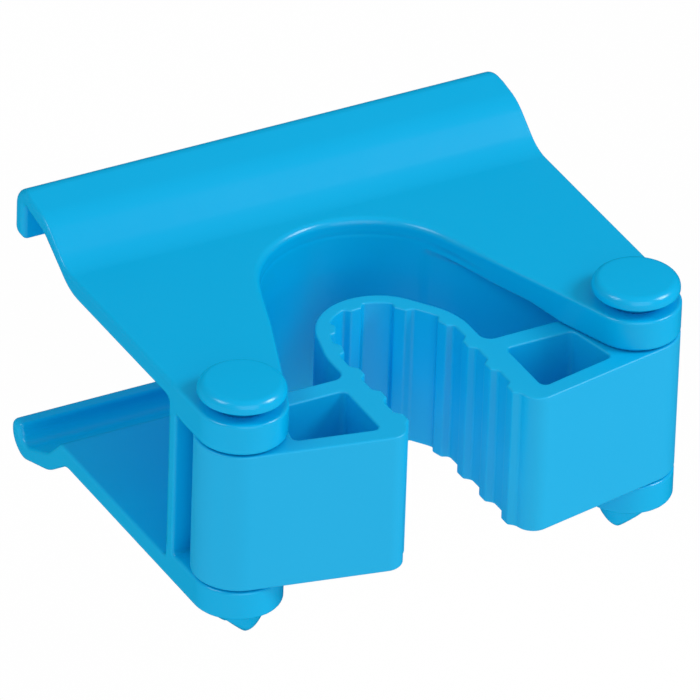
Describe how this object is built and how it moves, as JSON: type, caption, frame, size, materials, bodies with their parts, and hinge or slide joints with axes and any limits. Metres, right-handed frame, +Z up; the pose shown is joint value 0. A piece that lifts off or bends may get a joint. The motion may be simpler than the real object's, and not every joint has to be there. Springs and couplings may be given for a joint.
{
  "type": "clip-on rail tool holder",
  "caption": "Plastic bracket that hooks onto a wall rail and holds a ribbed, U-shaped rubber grip on snap-in pins, so a tool handle pushes in and is held.",
  "frame": {"origin": "centre of the part's box in plan, at the height it stands on", "axes": "+X along the rail, +Y back towards the wall, +Z up along the handle that the grip holds"},
  "size_m": [0.0826, 0.0726, 0.0482],
  "materials": {
    "bracket_plastic": "injection-moulded polypropylene, satin gloss, bright cyan blue",
    "grip_rubber": "moulded thermoplastic elastomer, satin, the same blue",
    "pin_plastic": "injection-moulded polypropylene, satin gloss, the same blue"
  },
  "bodies": {
    "bracket": {"bracket": "bracket_plastic"},
    "grip_loop": {"grip_loop": "grip_rubber"},
    "left_jaw": {"left_jaw": "grip_rubber"},
    "right_jaw": {"right_jaw": "grip_rubber"},
    "left_pin": {"left_pin": "pin_plastic"},
    "right_pin": {"right_pin": "pin_plastic"}
  },
  "joints": [
    {"name": "grip_push", "type": "slide", "parent": "bracket", "child": "grip_loop", "axis": [0, 1, 0], "range_m": [-0.001, 0.003], "stiffness_N_per_m": 300},
    {"name": "left_jaw_swing", "type": "hinge", "parent": "grip_loop", "child": "left_jaw", "pos_m": [-0.0124, -0.02488, 0.02412], "axis": [0, 0, 1], "range_deg": [-2.7, 8.1]},
    {"name": "right_jaw_swing", "type": "hinge", "parent": "grip_loop", "child": "right_jaw", "pos_m": [0.0116, -0.02488, 0.02412], "axis": [0, 0, 1], "range_deg": [-7.8, 2.6]},
    {"name": "left_pin_turn", "type": "hinge", "parent": "bracket", "child": "left_pin", "pos_m": [-0.03385, -0.02488, 0.02412], "axis": [0, 0, 1], "continuous": true},
    {"name": "right_pin_turn", "type": "hinge", "parent": "bracket", "child": "right_pin", "pos_m": [0.03385, -0.02488, 0.02412], "axis": [0, 0, 1], "continuous": true}
  ],
  "couplings": [
    {"joint": "left_jaw_swing", "follows": "grip_push", "rad_per_m": 46.62},
    {"joint": "right_jaw_swing", "follows": "grip_push", "rad_per_m": -44.944}
  ]
}
